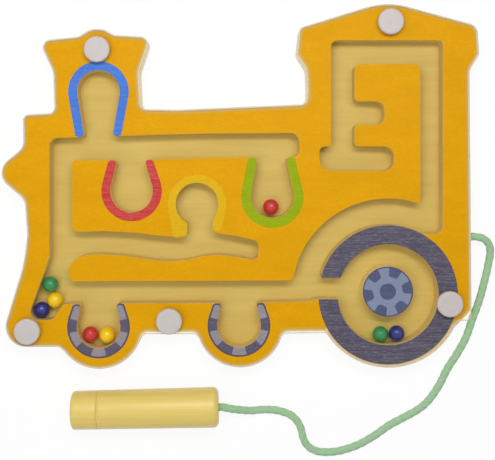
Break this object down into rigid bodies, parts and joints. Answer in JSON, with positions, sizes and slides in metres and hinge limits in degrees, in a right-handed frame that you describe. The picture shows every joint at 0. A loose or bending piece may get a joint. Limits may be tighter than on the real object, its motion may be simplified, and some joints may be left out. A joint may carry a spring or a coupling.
{
  "type": "magnetic maze board",
  "caption": "Magnetic maze board shaped like a steam locomotive: channels under a clear cover hold coloured steel balls, led by a magnet wand on a cord.",
  "frame": {"origin": "Middle of the board's outline on the underside of its back; the board lies face up on a table.", "axes": "+X towards the engine's rear (the board's long way), +Y towards its roof, +Z out of its face."},
  "size_m": [0.3101, 0.2858, 0.0248],
  "materials": {
    "plywood": "smooth pale plywood",
    "yellow_face": "satin yellow print on a wooden plate",
    "grey_face": "satin grey print on a wooden disc",
    "acrylic": "clear polished sheet",
    "white_plastic": "satin off-white",
    "zinc_steel": "zinc plated",
    "nickel": "nickel plated",
    "beech": "clear satin varnish",
    "cord_green": "twisted cord",
    "green_ball": "glossy paint",
    "yellow_ball": "glossy paint",
    "blue_ball": "glossy paint",
    "red_ball": "glossy paint"
  },
  "bodies": {
    "root": {"back_board": "plywood", "maze_plate": "yellow_face", "wheel_hub": "grey_face", "clear_cover": "acrylic", "cover_screw_1": "zinc_steel", "cover_screw_2": "zinc_steel", "cover_screw_3": "zinc_steel", "cover_screw_4": "zinc_steel", "cover_screw_5": "zinc_steel", "cap_washer_1": "white_plastic", "cap_washer_2": "white_plastic", "cap_washer_3": "white_plastic", "cap_washer_4": "white_plastic", "cap_washer_5": "white_plastic", "screw_cap_1": "white_plastic", "screw_cap_2": "white_plastic", "screw_cap_3": "white_plastic", "screw_cap_4": "white_plastic", "screw_cap_5": "white_plastic", "cord": "cord_green"},
    "ball_green_1": {"ball_green_1": "green_ball"},
    "ball_yellow_1": {"ball_yellow_1": "yellow_ball"},
    "ball_blue_1": {"ball_blue_1": "blue_ball"},
    "ball_red_1": {"ball_red_1": "red_ball"},
    "ball_yellow_2": {"ball_yellow_2": "yellow_ball"},
    "ball_red_2": {"ball_red_2": "red_ball"},
    "ball_green_2": {"ball_green_2": "green_ball"},
    "ball_blue_2": {"ball_blue_2": "blue_ball"},
    "wand": {"wand_handle": "beech", "wand_tip": "beech", "wand_magnet": "nickel"}
  },
  "joints": [
    {"name": "green_ball_up_front", "type": "slide", "parent": "root", "child": "ball_green_1", "axis": [0.3396, 0.9406, 0], "range_m": [0, 0.027]},
    {"name": "yellow_ball_out_of_foot", "type": "slide", "parent": "root", "child": "ball_yellow_1", "axis": [0.8, 0.6, 0], "range_m": [0, 0.0088]},
    {"name": "blue_ball_out_of_foot", "type": "slide", "parent": "root", "child": "ball_blue_1", "axis": [0.8, 0.6, 0], "range_m": [0, 0.0088]},
    {"name": "red_ball_out_of_wheel", "type": "slide", "parent": "root", "child": "ball_red_1", "axis": [0.045, 0.999, 0], "range_m": [0, 0.026]},
    {"name": "yellow_ball_out_of_wheel", "type": "slide", "parent": "root", "child": "ball_yellow_2", "axis": [0.045, 0.999, 0], "range_m": [0, 0.026]},
    {"name": "red_ball_out_of_keyhole", "type": "slide", "parent": "root", "child": "ball_red_2", "axis": [0, 1, 0], "range_m": [0, 0.0385]},
    {"name": "green_ball_round_ring", "type": "hinge", "parent": "root", "child": "ball_green_2", "pos_m": [0.09177, -0.0676, 0.0083], "axis": [0, 0, -1], "range_deg": [0, 160]},
    {"name": "blue_ball_round_ring", "type": "hinge", "parent": "root", "child": "ball_blue_2", "pos_m": [0.09177, -0.0676, 0.0083], "axis": [0, 0, 1], "range_deg": [0, 150]},
    {"name": "wand_lift", "type": "slide", "parent": "root", "child": "wand", "axis": [0, 0, 1], "range_m": [0, 0.06], "deforming": ["cord"]}
  ],
  "couplings": [
    {"joint": "yellow_ball_out_of_foot", "follows": "green_ball_up_front", "ratio": 0.3222},
    {"joint": "blue_ball_out_of_foot", "follows": "green_ball_up_front", "ratio": 0.3222}
  ]
}
